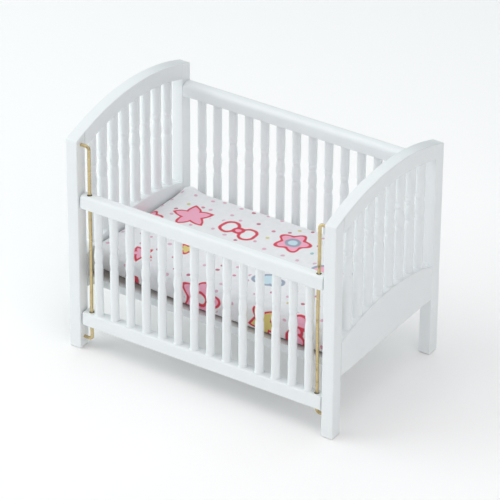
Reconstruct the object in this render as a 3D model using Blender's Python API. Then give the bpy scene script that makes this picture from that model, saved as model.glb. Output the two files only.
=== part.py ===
"""A dollhouse crib: two arched ends, a spindle back and a front gate that slides on two brass wires.

Lengths are in metres. X runs along the crib, -Y is its front and +Z is up. The origin is on the
floor, under the middle of the crib.
"""

import math

import bmesh
import bpy
from mathutils import Vector

# The whole crib.
crib_length = 0.118
crib_depth = 0.0752
crown_height = 0.0974

# The frame of painted wood. Arch rails and end boards are as thick as the posts are wide.
post_width = 0.005
post_depth = 0.0054
foot_round = 0.0005
arch_radius = 0.105
arch_bar = 0.0065
rail_height = 0.0056
rail_round = 0.0015
edge_round = 0.0003
back_rail_drop = 0.0136

# The turned spindles. Those of the ends are stouter.
spindle_diameter = 0.0034
end_spindle_diameter = 0.0038
spindle_clear = 0.0455
spindle_seat = 0.002
back_spindle_count = 14
gate_spindle_count = 14
end_spindle_count = 8
upside_down_back_spindles = (1, 2)

# Turned places down a spindle: share of the clear length from its top, share of its radius.
turning_shares = (
    (0.268, 1.0),
    (0.286, 0.9),
    (0.316, 0.955),
    (0.345, 0.825),
    (0.385, 0.94),
    (0.44, 1.04),
    (0.47, 0.97),
    (0.5, 0.865),
    (0.532, 0.99),
)

# The board that carries the mattress.
bed_board_thickness = 0.0034
bed_board_step = 0.0024
bed_board_set_back = 0.0004
end_board_skirt = 0.0016

# The drop gate and the wires that it slides on.
gate_rest_height = 0.0111
gate_rail_depth = 0.0047
gate_end_gap = 0.0007
wire_diameter = 0.0013
wire_hole_diameter = 0.0019
wire_stand_off = 0.0036
wire_bend = 0.0014
wire_seat = 0.003
left_wire_foot_height = 0.0046
right_wire_foot_height = 0.0083
wire_top_drop = 0.0032

# The loose mattress, fuller along the front and pulled in at its front left corner.
mattress_end_gap = 0.0003
mattress_back_gap = 0.0004
mattress_front_gap = 0.0013
mattress_front_thickness = 0.0118
mattress_back_thickness = 0.0083
mattress_crown = 0.0009
mattress_corner = 0.0026
mattress_least_corner = 0.001
mattress_front_round = 0.0038
mattress_back_round = 0.0015
mattress_bottom_round = 0.0009
mattress_draw_in = 0.0004
mattress_corner_pull = 0.0038
mattress_ring_insets = (0.0075, 0.0135, 0.0205)

# Gaps that keep touching pieces apart.
glue_gap = 0.00005
socket_clearance = 0.00005
socket_end_gap = 0.0003
rest_gap = 0.0002
cut_overrun = 0.001

# How finely the curves are faceted.
spindle_sides = 8
wire_sides = 8
wire_hole_sides = 12
arch_steps = 18
post_top_steps = 2
rail_corner_steps = 3
edge_steps = 2
wire_bend_steps = 4
mattress_corner_steps = 5
mattress_side_steps = 8
mattress_end_steps = 5
mattress_round_steps = 3
sharp_angle = math.radians(35)

# Places that follow from the sizes.
post_x = (crib_length - post_width) / 2
post_y = (crib_depth - post_depth) / 2
inner_x = crib_length / 2 - post_width
inner_y = crib_depth / 2 - post_depth
arch_centre = crown_height - arch_radius
arch_inner_radius = arch_radius - arch_bar
back_rail_top = crown_height - back_rail_drop
back_rail_underside = back_rail_top - rail_height
back_bottom_rail_top = back_rail_underside - spindle_clear
bed_board_top = back_bottom_rail_top - bed_board_step
bed_board_underside = bed_board_top - bed_board_thickness
end_board_underside = bed_board_underside - end_board_skirt
gate_bottom_rail_top = gate_rest_height + rail_height
gate_top_rail_underside = gate_bottom_rail_top + spindle_clear
wire_x = inner_x - wire_stand_off
socket_depth = spindle_seat + socket_end_gap


def arch_outside(y):
    """Height of the outer curve of an end."""
    return arch_centre + math.sqrt(arch_radius ** 2 - y ** 2)


def arch_underside(y):
    """Height of the underside of an arch rail."""
    return arch_centre + math.sqrt(arch_inner_radius ** 2 - y ** 2)


def end_board_top(y):
    """Height of the curved top of an end board, one clear spindle below the arch."""
    return arch_underside(y) - spindle_clear


def even_places(span, count):
    """Middles of count spindles with equal gaps between them and to both ends of the span."""
    pitch = span / (count + 1)
    return [pitch * (index + 1) - span / 2 for index in range(count)]


def curve_points(height, start, end, steps):
    """Points of a curve whose height is a function of y, from start to end."""
    places = [start + (end - start) * step / steps for step in range(steps + 1)]
    return [(y, height(y)) for y in places]


def corner_arc(y, z, radius, first_turn, steps):
    """Points of a quarter circle about y, z that starts at first_turn quarter turns."""
    points = []
    for step in range(steps + 1):
        angle = math.pi / 2 * (first_turn + step / steps)
        points.append((y + radius * math.cos(angle), z + radius * math.sin(angle)))
    return points


def painted(name, colour, roughness, metallic):
    """A plain material with one colour."""
    material = bpy.data.materials.new(name)
    material.use_nodes = True
    material.diffuse_color = colour
    shader = material.node_tree.nodes["Principled BSDF"]
    shader.inputs["Base Color"].default_value = colour
    shader.inputs["Roughness"].default_value = roughness
    shader.inputs["Metallic"].default_value = metallic
    return material


def white_paint():
    return painted("white_satin_paint", (0.86, 0.89, 0.92, 1), 0.38, 0)


def board_paint():
    return painted("board_paint", (0.8, 0.82, 0.84, 1), 0.6, 0)


def brass():
    return painted("brass", (0.62, 0.48, 0.24, 1), 0.32, 1)


def printed_cotton():
    return painted("printed_cotton", (0.86, 0.84, 0.87, 1), 0.9, 0)


def remove_objects():
    """Start from an empty scene."""
    for thing in list(bpy.data.objects):
        bpy.data.objects.remove(thing, do_unlink=True)


def place(thing, location, parent):
    """Put an object at a place in the crib, also when an empty carries it."""
    thing.parent = parent
    thing.location = location - parent.location if parent else location


def add_mesh(name, bm, material):
    """Turn a bmesh into a mesh with smooth round faces and one material."""
    bmesh.ops.recalc_face_normals(bm, faces=bm.faces[:])
    mesh = bpy.data.meshes.new(name)
    bm.to_mesh(mesh)
    bm.free()
    mesh.shade_smooth()
    mesh.set_sharp_from_angle(angle=sharp_angle)
    if material:
        mesh.materials.append(material)
    return mesh


def add_object(name, mesh, location, parent=None):
    """Add an object that shows a mesh."""
    thing = bpy.data.objects.new(name, mesh)
    bpy.context.collection.objects.link(thing)
    place(thing, location, parent)
    return thing


def add_empty(name, location):
    """Add the empty that marks and carries a moving body."""
    empty = bpy.data.objects.new(name, None)
    bpy.context.collection.objects.link(empty)
    empty.location = location
    return empty


def bar(bm, outline, width):
    """Extrude a closed outline of y, z points along X, evenly about the middle."""
    face = bm.faces.new([bm.verts.new((-width / 2, y, z)) for y, z in outline])
    grown = bmesh.ops.extrude_face_region(bm, geom=[face])
    moved = [item for item in grown["geom"] if isinstance(item, bmesh.types.BMVert)]
    bmesh.ops.translate(bm, verts=moved, vec=(width, 0, 0))
    bmesh.ops.recalc_face_normals(bm, faces=bm.faces[:])


def ease_edges(bm, radius, chosen):
    """Round the sharp edges that a test chooses."""
    edges = [edge for edge in bm.edges if edge.calc_face_angle(0) > sharp_angle and chosen(edge)]
    bmesh.ops.bevel(bm, geom=edges, offset=radius, segments=edge_steps, profile=0.5,
                    affect='EDGES', clamp_overlap=True)


def turn(bm, foot, profile, sides):
    """Turn a profile of height, radius pairs about an upright axis through foot."""
    rings = []
    for height, radius in profile:
        ring = []
        for side in range(sides):
            angle = math.tau * side / sides
            arm = Vector((math.cos(angle), math.sin(angle), 0)) * radius
            ring.append(bm.verts.new(foot + arm + Vector((0, 0, height))))
        rings.append(ring)
    join_rings(bm, rings)


def join_rings(bm, rings):
    """Skin a row of rings and close both its ends."""
    for low, high in zip(rings, rings[1:]):
        for side in range(len(low)):
            following = (side + 1) % len(low)
            bm.faces.new((low[side], low[following], high[following], high[side]))
    bm.faces.new(rings[0])
    bm.faces.new(rings[-1])


def cut(target, bm, name):
    """Take a shape away from a piece."""
    cutter = add_object(name, add_mesh(name, bm, None), Vector((0, 0, 0)), target.parent)
    cutter.hide_render = True
    cutter.display_type = 'WIRE'
    modifier = target.modifiers.new(name, 'BOOLEAN')
    modifier.operation = 'DIFFERENCE'
    modifier.solver = 'EXACT'
    modifier.object = cutter


def drill(target, holes, radius, sides):
    """Drill upright holes, each given by its x, its y, its low end and its high end."""
    bm = bmesh.new()
    for x, y, low, high in holes:
        turn(bm, Vector((x, y, 0)), [(low, radius), (high, radius)], sides)
    cut(target, bm, target.name + "_drill_" + str(sides))


def drill_sockets(target, places, surface, opens_up, diameter=spindle_diameter):
    """Drill a row of spindle sockets into a surface whose height is a function of y."""
    holes = []
    for x, y in places:
        if opens_up:
            holes.append((x, y, surface(y) - socket_depth, surface(y) + cut_overrun))
        else:
            holes.append((x, y, surface(y) - cut_overrun, surface(y) + socket_depth))
    drill(target, holes, diameter / 2 + socket_clearance, spindle_sides)


def spindle_mesh(name, diameter, material):
    """One turned spindle that stands on its clear length, with a seat at each end."""
    radius = diameter / 2
    profile = [(-spindle_seat, radius)]
    for length_share, radius_share in reversed(turning_shares):
        profile.append((spindle_clear * (1 - length_share), radius * radius_share))
    profile.append((spindle_clear + spindle_seat, radius))
    bm = bmesh.new()
    turn(bm, Vector((0, 0, 0)), profile, spindle_sides)
    return add_mesh(name, bm, material)


def add_spindles(prefix, places, foot_height, mesh, parent=None, upside_down=()):
    """Stand a row of spindles, numbered from one, in their sockets."""
    for number, (x, y) in enumerate(places, start=1):
        foot = Vector((x, y, foot_height(y)))
        spindle = add_object(prefix + str(number), mesh, foot, parent)
        if number in upside_down:
            spindle.rotation_euler = (math.pi, 0, 0)
            spindle.location.z += spindle_clear


def post_mesh(material):
    """A front post, upright about the middle of its foot. Its top follows the arch."""
    front = -post_depth / 2
    back = post_depth / 2
    top = curve_points(lambda y: arch_outside(y - post_y), back, front, post_top_steps)
    bm = bmesh.new()
    bar(bm, [(front, 0), (back, 0)] + top, post_width)

    def at_foot(edge):
        return all(vert.co.z < foot_round for vert in edge.verts)

    def at_glue_line(edge):
        return all(vert.co.y > back - edge_round and vert.co.z > top[0][1] - edge_round
                   for vert in edge.verts)

    ease_edges(bm, edge_round, lambda edge: not at_foot(edge) and not at_glue_line(edge))
    ease_edges(bm, foot_round, at_foot)
    return add_mesh("post", bm, material)


def add_posts(material):
    """Four posts. The two rear ones are turned round, and the front ones hold the wires."""
    mesh = post_mesh(material)
    for side, x in (("left", -post_x), ("right", post_x)):
        front_post = add_object(side + "_front_post", mesh, Vector((x, -post_y, 0)))
        rear_post = add_object(side + "_rear_post", mesh, Vector((x, post_y, 0)))
        rear_post.rotation_euler = (0, 0, math.pi)
        bm = bmesh.new()
        for height in (wire_foot_height(side), wire_top_height()):
            wire_hole(bm, math.copysign(inner_x, x), height)
        cut(front_post, bm, front_post.name + "_wire_holes")


def wire_foot_height(side):
    """Height at which a wire's lower end goes into its post. The right one sits higher."""
    return left_wire_foot_height if side == "left" else right_wire_foot_height


def wire_top_height():
    """Height at which a wire's upper end goes into its post."""
    return arch_outside(-post_y) - wire_top_drop


def wire_ring(bm, centre, along, radius):
    """A ring of corners about a wire that runs in the plane of X and Z."""
    across = Vector((0, 1, 0))
    side = along.cross(across)
    ring = []
    for step in range(wire_sides):
        angle = math.tau * step / wire_sides
        ring.append(bm.verts.new(centre + (across * math.cos(angle) + side * math.sin(angle)) * radius))
    return ring


def wire_hole(bm, face_x, height):
    """The blind hole in a post's inner face that holds one end of a wire."""
    outwards = math.copysign(1, face_x)
    along = Vector((outwards, 0, 0))
    radius = wire_diameter / 2 + socket_clearance
    ends = (face_x - outwards * cut_overrun, face_x + outwards * (wire_seat + socket_end_gap))
    join_rings(bm, [wire_ring(bm, Vector((x, -post_y, height)), along, radius) for x in ends])


def wire_mesh(side, rise, material):
    """A wire along one post: into the post, round a bend, up, round a bend and in again.

    side is -1 for the left wire and 1 for the right one. The wire's foot is at height zero.
    """
    end_x = wire_stand_off + wire_seat
    stops = [(Vector((side * end_x, 0, 0)), Vector((-side, 0, 0)))]
    for step in range(wire_bend_steps + 1):
        angle = math.pi / 2 * step / wire_bend_steps
        x = side * wire_bend * (1 - math.sin(angle))
        stops.append((Vector((x, 0, wire_bend * (1 - math.cos(angle)))),
                      Vector((-side * math.cos(angle), 0, math.sin(angle)))))
    for step in range(wire_bend_steps + 1):
        angle = math.pi / 2 * step / wire_bend_steps
        x = side * wire_bend * (1 - math.cos(angle))
        stops.append((Vector((x, 0, rise - wire_bend * (1 - math.sin(angle)))),
                      Vector((side * math.sin(angle), 0, math.cos(angle)))))
    stops.append((Vector((side * end_x, 0, rise)), Vector((side, 0, 0))))
    bm = bmesh.new()
    join_rings(bm, [wire_ring(bm, centre, along, wire_diameter / 2) for centre, along in stops])
    return add_mesh("guide_wire", bm, material)


def add_guide_wires(material):
    """The two brass wires in front, each bent into its post at both ends."""
    for name, side in (("left", -1), ("right", 1)):
        foot = wire_foot_height(name)
        mesh = wire_mesh(side, wire_top_height() - foot, material)
        add_object(name + "_guide_wire", mesh, Vector((side * wire_x, -post_y, foot)))


def end_mesh(name, low, high, material):
    """A piece between the two posts of an end, from a lower curve to an upper one."""
    reach = inner_y - glue_gap
    outline = low(reach) + high(reach)
    bm = bmesh.new()
    bar(bm, outline, post_width)

    def along_end(edge):
        return all(abs(vert.co.y) > reach - edge_round for vert in edge.verts)

    ease_edges(bm, edge_round, lambda edge: not along_end(edge))
    return add_mesh(name, bm, material)


def add_ends(material, spindle):
    """Both arched ends: an arch rail, an end board and the spindles between them."""
    arch = end_mesh(
        "arch_rail",
        lambda reach: curve_points(arch_underside, -reach, reach, arch_steps),
        lambda reach: curve_points(arch_outside, reach, -reach, arch_steps),
        material)
    board = end_mesh(
        "end_board",
        lambda reach: [(-reach, end_board_underside), (reach, end_board_underside)],
        lambda reach: curve_points(end_board_top, reach, -reach, arch_steps),
        material)
    for side, x in (("left", -post_x), ("right", post_x)):
        places = [(x, y) for y in even_places(2 * inner_y, end_spindle_count)]
        arch_rail = add_object(side + "_arch_rail", arch, Vector((x, 0, 0)))
        drill_sockets(arch_rail, places, arch_underside, False, end_spindle_diameter)
        end_board = add_object(side + "_end_board", board, Vector((x, 0, 0)))
        drill_sockets(end_board, places, end_board_top, True, end_spindle_diameter)
        add_spindles(side + "_end_spindle_", places, end_board_top, spindle)


def rail_mesh(name, length, depth, material):
    """A rail with its top edges well rounded, its underside at height zero."""
    half = depth / 2
    outline = [(-half, 0), (half, 0)]
    outline += corner_arc(half - rail_round, rail_height - rail_round, rail_round, 0,
                          rail_corner_steps)
    outline += corner_arc(rail_round - half, rail_height - rail_round, rail_round, 1,
                          rail_corner_steps)
    bm = bmesh.new()
    bar(bm, outline, length)
    ease_edges(bm, edge_round, lambda edge: True)
    return add_mesh(name, bm, material)


def add_back(material, spindle):
    """The fixed back: two rails between the rear posts and the spindles between them."""
    mesh = rail_mesh("back_rail", 2 * (inner_x - glue_gap), post_depth, material)
    places = [(x, post_y) for x in even_places(2 * inner_x, back_spindle_count)]
    top_rail = add_object("back_top_rail", mesh, Vector((0, post_y, back_rail_underside)))
    drill_sockets(top_rail, places, lambda y: back_rail_underside, False)
    bottom = Vector((0, post_y, back_bottom_rail_top - rail_height))
    bottom_rail = add_object("back_bottom_rail", mesh, bottom)
    drill_sockets(bottom_rail, places, lambda y: back_bottom_rail_top, True)
    add_spindles("back_spindle_", places, lambda y: back_bottom_rail_top, spindle,
                 upside_down=upside_down_back_spindles)


def add_gate(material, spindle):
    """The drop gate: two rails drilled for the wires, and the spindles between them."""
    slide = add_empty("drop_gate_slide", Vector((0, -post_y, gate_rest_height)))
    mesh = rail_mesh("gate_rail", 2 * (inner_x - gate_end_gap), gate_rail_depth, material)
    places = [(x, -post_y) for x in even_places(2 * inner_x, gate_spindle_count)]
    bottom_rail = add_object("gate_bottom_rail", mesh, Vector((0, -post_y, gate_rest_height)), slide)
    drill_sockets(bottom_rail, places, lambda y: gate_bottom_rail_top, True)
    drill_for_wires(bottom_rail, gate_rest_height)
    top = Vector((0, -post_y, gate_top_rail_underside))
    top_rail = add_object("gate_top_rail", mesh, top, slide)
    drill_sockets(top_rail, places, lambda y: gate_top_rail_underside, False)
    drill_for_wires(top_rail, gate_top_rail_underside)
    add_spindles("gate_spindle_", places, lambda y: gate_bottom_rail_top, spindle, slide)


def drill_for_wires(rail, underside):
    """Drill a gate rail right through near both its ends, for the guide wires."""
    low = underside - cut_overrun
    high = underside + rail_height + cut_overrun
    holes = [(x, -post_y, low, high) for x in (-wire_x, wire_x)]
    drill(rail, holes, wire_hole_diameter / 2, wire_hole_sides)


def add_bed_board(material):
    """The board between the end boards. It butts against the back bottom rail."""
    front = bed_board_set_back - inner_y
    back = inner_y - glue_gap
    outline = [(front, 0), (back, 0), (back, bed_board_thickness), (front, bed_board_thickness)]
    bm = bmesh.new()
    bar(bm, outline, 2 * (inner_x - glue_gap))
    ease_edges(bm, edge_round, lambda edge: all(vert.co.y < 0 for vert in edge.verts))
    add_object("bed_board", add_mesh("bed_board", bm, material), Vector((0, 0, bed_board_underside)))


def rounded_rectangle(half_x, front, back, corner):
    """Points round a rectangle with rounded corners, from its front right corner."""
    straight_x = half_x - corner
    corners = ((straight_x, front + corner, 3), (straight_x, back - corner, 0),
               (-straight_x, back - corner, 1), (-straight_x, front + corner, 2))
    steps_after = (mattress_end_steps, mattress_side_steps, mattress_end_steps, mattress_side_steps)
    points = []
    for index, (x, y, first_turn) in enumerate(corners):
        points += corner_arc(x, y, corner, first_turn, mattress_corner_steps)
        start = points[-1]
        next_x, next_y, next_turn = corners[(index + 1) % len(corners)]
        end = corner_arc(next_x, next_y, corner, next_turn, mattress_corner_steps)[0]
        for step in range(1, steps_after[index]):
            share = step / steps_after[index]
            points.append((start[0] + (end[0] - start[0]) * share,
                           start[1] + (end[1] - start[1]) * share))
    return points


def mattress_mesh(material):
    """A soft pad: crowned top, sides drawn in between the corners, flat where it rests."""
    half_x = inner_x - mattress_end_gap
    half_y = inner_y - (mattress_front_gap + mattress_back_gap) / 2

    def thickness(x, y):
        front_share = (half_y - y) / (2 * half_y)
        fullness = (1 - (x / half_x) ** 2) * (1 - (y / half_y) ** 2)
        fall = (mattress_front_thickness - mattress_back_thickness) * front_share
        return mattress_back_thickness + fall + mattress_crown * max(fullness, 0)

    def drawn(x, y):
        left_front = ((half_x - x) / (2 * half_x)) ** 4 * ((half_y - y) / (2 * half_y)) ** 2
        drawn_x = x * (1 - mattress_draw_in / half_x * (1 - (y / half_y) ** 2))
        drawn_y = y * (1 - mattress_draw_in / half_y * (1 - (x / half_x) ** 2))
        return drawn_x, drawn_y + mattress_corner_pull * left_front

    def ring(bm, front_inset, back_inset, height):
        side_inset = (front_inset + back_inset) / 2
        corner = max(mattress_corner - side_inset, mattress_least_corner)
        verts = []
        for x, y in rounded_rectangle(half_x - back_inset, front_inset - half_y,
                                      half_y - back_inset, corner):
            drawn_x, drawn_y = drawn(x, y)
            verts.append(bm.verts.new((drawn_x, drawn_y, height(x, y))))
        return verts

    def edge_round_at(y):
        front_share = (half_y - y) / (2 * half_y)
        return mattress_back_round + (mattress_front_round - mattress_back_round) * front_share

    bm = bmesh.new()
    rings = []
    for step in range(mattress_round_steps + 1):
        angle = math.pi / 2 * step / mattress_round_steps
        inset = mattress_bottom_round * (1 - math.sin(angle))
        rise = mattress_bottom_round * (1 - math.cos(angle))
        rings.append(ring(bm, inset, inset, lambda x, y: rise))
    for step in range(mattress_round_steps + 1):
        angle = math.pi / 2 * step / mattress_round_steps
        inward = 1 - math.cos(angle)
        below = 1 - math.sin(angle)
        rings.append(ring(bm, mattress_front_round * inward, mattress_back_round * inward,
                          lambda x, y: thickness(x, y) - edge_round_at(y) * below))
    for inset in mattress_ring_insets:
        rings.append(ring(bm, inset, inset, thickness))
    join_rings(bm, rings)
    return add_mesh("mattress", bm, material)


def add_mattress(material):
    """The mattress lies loose on the bed board and lifts straight out."""
    middle_y = (mattress_front_gap - mattress_back_gap) / 2
    foot = Vector((0, middle_y, bed_board_top + rest_gap))
    lift = add_empty("mattress_lift", foot)
    add_object("mattress", mattress_mesh(material), foot, lift)


def build_crib():
    remove_objects()
    paint = white_paint()
    spindle = spindle_mesh("spindle", spindle_diameter, paint)
    add_posts(paint)
    add_ends(paint, spindle_mesh("end_spindle", end_spindle_diameter, paint))
    add_back(paint, spindle)
    add_guide_wires(brass())
    add_gate(paint, spindle)
    add_bed_board(board_paint())
    add_mattress(printed_cotton())


build_crib()
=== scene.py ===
"""The looks of a dollhouse crib: painted wood, brass wires and a printed cotton mattress.

Lengths are in metres. X runs along the crib, -Y is its front and +Z is up. Each piece is
modelled where its node of the frame is, and then stands for that node.
"""

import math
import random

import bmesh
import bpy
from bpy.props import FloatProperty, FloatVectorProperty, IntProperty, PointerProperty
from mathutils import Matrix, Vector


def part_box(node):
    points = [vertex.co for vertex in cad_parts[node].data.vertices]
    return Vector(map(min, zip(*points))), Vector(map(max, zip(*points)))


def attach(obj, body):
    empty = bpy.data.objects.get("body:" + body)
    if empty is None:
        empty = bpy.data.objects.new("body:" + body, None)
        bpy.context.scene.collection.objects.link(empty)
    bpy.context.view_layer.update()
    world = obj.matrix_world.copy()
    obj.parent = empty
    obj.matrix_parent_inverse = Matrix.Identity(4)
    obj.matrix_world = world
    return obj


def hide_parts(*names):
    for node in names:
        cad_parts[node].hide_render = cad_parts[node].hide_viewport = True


bl_info = {
    "name": "Dollhouse Crib",
    "version": (1, 0, 0),
    "blender": (4, 5, 0),
    "location": "3D View > Sidebar > Crib",
    "description": "Models the painted wood, brass and printed cotton of a dollhouse crib",
    "category": "Add Mesh",
}

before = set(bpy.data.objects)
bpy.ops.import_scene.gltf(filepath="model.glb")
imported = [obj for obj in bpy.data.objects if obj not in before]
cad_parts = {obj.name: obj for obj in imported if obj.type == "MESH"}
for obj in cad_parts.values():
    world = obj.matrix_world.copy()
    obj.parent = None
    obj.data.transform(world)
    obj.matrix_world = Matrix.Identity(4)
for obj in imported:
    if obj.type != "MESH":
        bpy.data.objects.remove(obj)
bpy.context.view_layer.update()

# Places that the pieces share, read from the frame.
POST_LOW, POST_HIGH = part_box("right_front_post")
INNER_Y = -POST_HIGH.y
POST_Y = (POST_LOW.y + POST_HIGH.y) / 2
END_X = (POST_LOW.x + POST_HIGH.x) / 2
SHARP_ANGLE = math.radians(35)
# Segments of a rounded rail, edge, thin edge and joint, and of the pad's front top edge.
RAIL_SEGMENTS = 9
EDGE_SEGMENTS = 4
THIN_SEGMENTS = 3
JOINT_SEGMENTS = 2
PAD_FRONT_SEGMENTS = 6
# Places that are closer than this are the same place.
TOUCH = 1e-5
ENDS = (("left", -1), ("right", 1))


def circle_through(crown, reach, height):
    """Centre height and radius of an arch with its crown over y = 0, from another place on it."""
    fall = crown - height
    radius = (reach ** 2 + fall ** 2) / (2 * fall)
    return crown - radius, radius


def arch_circles():
    """Centre height, outer radius and inner radius of the arch rails."""
    low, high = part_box("right_arch_rail")
    centre, outer = circle_through(high.z, INNER_Y, POST_HIGH.z)
    return centre, outer, math.hypot(high.y, low.z - centre)


ARCH_CENTRE, ARCH_RADIUS, ARCH_INNER_RADIUS = arch_circles()
BOARD_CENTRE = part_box("right_end_board")[1].z - ARCH_INNER_RADIUS


def length_of(name, description, default, least=0.0, most=10.0):
    """A length that the user can change."""
    return FloatProperty(name=name, description=description, default=default,
                         min=least, max=most, unit='LENGTH')


def share_of(name, description, default, most=1.0):
    """A share that the user can change."""
    return FloatProperty(name=name, description=description, default=default,
                         min=0, max=most, subtype='FACTOR')


def colour_of(name, description, default):
    """A colour that the user can change."""
    return FloatVectorProperty(name=name, description=description, default=default,
                               size=3, min=0, max=1, subtype='COLOR')


def power_of(name, lamp, default):
    """The power of a lamp that the user can change."""
    return FloatProperty(name=name, description="Power of the " + lamp + ", in watts",
                         default=default, min=0)


def angle_of(name, description, degrees):
    """An angle that the user can change."""
    return FloatProperty(name=name, description=description, default=math.radians(degrees),
                         subtype='ANGLE')


def sides_of(name, description, default, most):
    """A number of sides that the user can change."""
    return IntProperty(name=name, description=description, default=default, min=8, max=most)


class CribWood(bpy.types.PropertyGroup):
    """Sizes of the painted wood."""
    edge_round: length_of(
        "Edge Round", "Radius that the paint leaves on an edge", 0.0004, 0.0001)
    rail_round: length_of(
        "Rail Round", "Radius along both top edges of the gate's top rail", 0.0015, 0.0002)
    back_rail_round: length_of(
        "Back Rail Round", "Radius along both top edges of a back rail", 0.0021, 0.0002)
    low_rail_round: length_of(
        "Low Rail Round", "Radius along both top edges of the gate's lower rail", 0.0008, 0.0002)
    foot_round: length_of("Foot Round", "Radius round the foot of a post", 0.0009, 0.0001)
    joint_round: length_of(
        "Joint Round", "Radius of an edge at a glued joint or a drilled hole", 0.00012, 0.00002)
    hole_diameter: length_of(
        "Wire Hole", "Diameter of the holes that the wires run through", 0.0019, 0.0005)
    spindle_diameter: length_of(
        "Spindle", "Diameter of a spindle where it isn't turned down", 0.0034, 0.001)
    end_spindle_diameter: length_of(
        "End Spindle", "Diameter of the stouter spindles of both ends", 0.0038, 0.001)
    spindle_seat: length_of("Spindle Seat", "Depth of a spindle in its socket", 0.002)
    paint_pool: length_of(
        "Paint Pool", "Width of the paint gathered round a spindle's foot", 0.0004, 0.00005)
    neck: length_of("Neck", "How much a spindle is drawn in under the rail above it", 0.00016)
    spindle_sides: sides_of("Spindle Sides", "Sides of a turned spindle", 28, 64)


class CribFinish(bpy.types.PropertyGroup):
    """Colours and gloss of the hard pieces."""
    paint: colour_of("Paint", "Colour of the satin paint", (0.915, 0.94, 0.948))
    paint_roughness: share_of("Paint Roughness", "How dull the satin paint is", 0.33)
    # The bed board's top colour is partly its own bare wood and partly painted shade from the
    # mattress.
    board: colour_of("Board", "Colour of the bare top of the bed board", (0.36, 0.32, 0.3))
    brass: colour_of("Brass", "Colour of the drawn brass", (0.60, 0.48, 0.26))
    tarnish: colour_of(
        "Tarnish", "Colour of the brass where it has darkened", (0.14, 0.10, 0.05))
    brass_roughness: share_of("Brass Roughness", "How dull the brass is", 0.3)


class CribWires(bpy.types.PropertyGroup):
    """Sizes of the guide wires."""
    bend: length_of("Bend", "Radius of the wire's bends, on its centre line", 0.0014, 0.0008)
    sway: length_of("Sway", "How far a wire wanders from straight", 0.00012, most=0.0003)
    sides: sides_of("Sides", "Sides of a wire", 20, 48)


class CribMattress(bpy.types.PropertyGroup):
    """Sizes of the padding and the cloth over it."""
    mesh_size: length_of(
        "Mesh Size", "Size of the faces that the cloth is simulated with", 0.0009, 0.0006)
    slope: length_of("Slope", "How much lower the pad is along the back", 0.0024)
    sag: length_of("Sag", "How far the pad hangs between its front and its back", 0.0004)
    corner_lift: length_of("Corner Lift", "How far the left rear corner stands up", 0.0026)
    corner_reach: length_of(
        "Corner Reach", "How far from the pad's edges that corner stands highest", 0.0045, 0.0005)
    end_lift: length_of("End Lift", "How far the left end rises along the front", 0.0008)
    end_drop: length_of("End Drop", "How far the left end sinks along the back", 0.0022)
    end_reach: length_of(
        "End Reach", "Length over which the left end rises or sinks", 0.006, 0.0005)
    foot_inset: length_of("Foot Inset", "How far the foot of the front stands back", 0.0012)
    tuck: length_of("Tuck", "How far the foot of the front is drawn in at the left end", 0.004)
    tuck_length: length_of(
        "Tuck Length", "Length over which the foot of the front is drawn in", 0.045, 0.001)
    front_round: length_of("Front Round", "Radius of the pad's front top edge", 0.0034, 0.0002)
    edge_round: length_of("Edge Round", "Radius of the pad's other edges", 0.0009, 0.0002)
    swell: length_of("Swell", "Furthest that the padding pushes the cloth out", 0.0006)
    pressure: FloatProperty(
        name="Pressure", description="Pressure of the padding in the simulation",
        default=4, min=0)
    slack: share_of("Slack", "Share by which the cotton is longer than the pad", 0.02, 0.2)


class CribPrint(bpy.types.PropertyGroup):
    """Colours and sizes of the printed cotton."""
    ground: colour_of("Ground", "Colour of the cotton", (0.93, 0.925, 0.94))
    red: colour_of("Red", "Colour of the drawn lines", (0.72, 0.03, 0.07))
    pink: colour_of("Pink", "Colour of most filled motifs", (0.97, 0.45, 0.60))
    yellow: colour_of("Yellow", "Colour of the yellow motifs", (0.80, 0.66, 0.21))
    blue: colour_of("Blue", "Colour of the grey blue lines", (0.34, 0.40, 0.50))
    sky_blue: colour_of("Sky Blue", "Colour of the palest filled motifs", (0.62, 0.80, 0.88))
    repeat: FloatVectorProperty(
        name="Repeat", description="Width and height after which the print repeats",
        subtype='XYZ', size=2, unit='LENGTH', default=(0.108, 0.090))
    line: length_of("Line", "Width of the drawn lines", 0.0013, 0.0001)
    wobble: length_of("Wobble", "How far the drawn lines wander", 0.0009)
    dot: length_of("Dot", "Diameter of the dots", 0.0016, 0.0002)
    dot_pitch: length_of("Dot Pitch", "Distance from one dot to the next", 0.0066, 0.001)
    weave: length_of("Weave", "Distance from one thread to the next", 0.00028, 0.0001)


class CribStage(bpy.types.PropertyGroup):
    """The floor, the light and the camera."""
    floor_size: length_of("Floor", "Side of the floor", 6, 1)
    sky: FloatProperty(
        name="Sky", description="Strength of the even pale light", default=0.2, min=0)
    key: power_of("Key", "soft box high on the front left", 1.9)
    side: power_of("Side", "soft box low on the left", 3.95)
    left: power_of("Left", "soft box on the left and behind", 0.95)
    top: power_of("Top", "soft box over the crib", 1.95)
    fill: power_of("Fill", "soft box on the right", 2.15)
    back: power_of("Back", "soft box behind the crib", 1.35)
    floor_wash: power_of("Floor Wash", "light that only the floor takes", 1.3)
    box_size: length_of("Soft Box", "Side of each soft box", 0.85, 0.05)
    box_distance: length_of(
        "Light Distance", "Distance from each soft box to the crib", 0.9, 0.2)
    azimuth: angle_of("Azimuth", "Turn of the camera to the right of the front", 32.95)
    elevation: angle_of("Elevation", "Height of the camera above the horizon", 30.935)
    roll: angle_of("Roll", "Tilt of the camera", 0.394)
    distance: length_of("Distance", "Distance from the camera to the crib", 1.4162, 0.2)
    aim: FloatVectorProperty(
        name="Aim", description="Where the view's middle lies, to the right and up",
        subtype='XYZ', size=2, unit='LENGTH', default=(-0.00127, 0.037195))
    lens: FloatProperty(
        name="Lens", description="Focal length, in millimetres on a 36 mm wide sensor",
        default=267.14, min=10)


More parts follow.
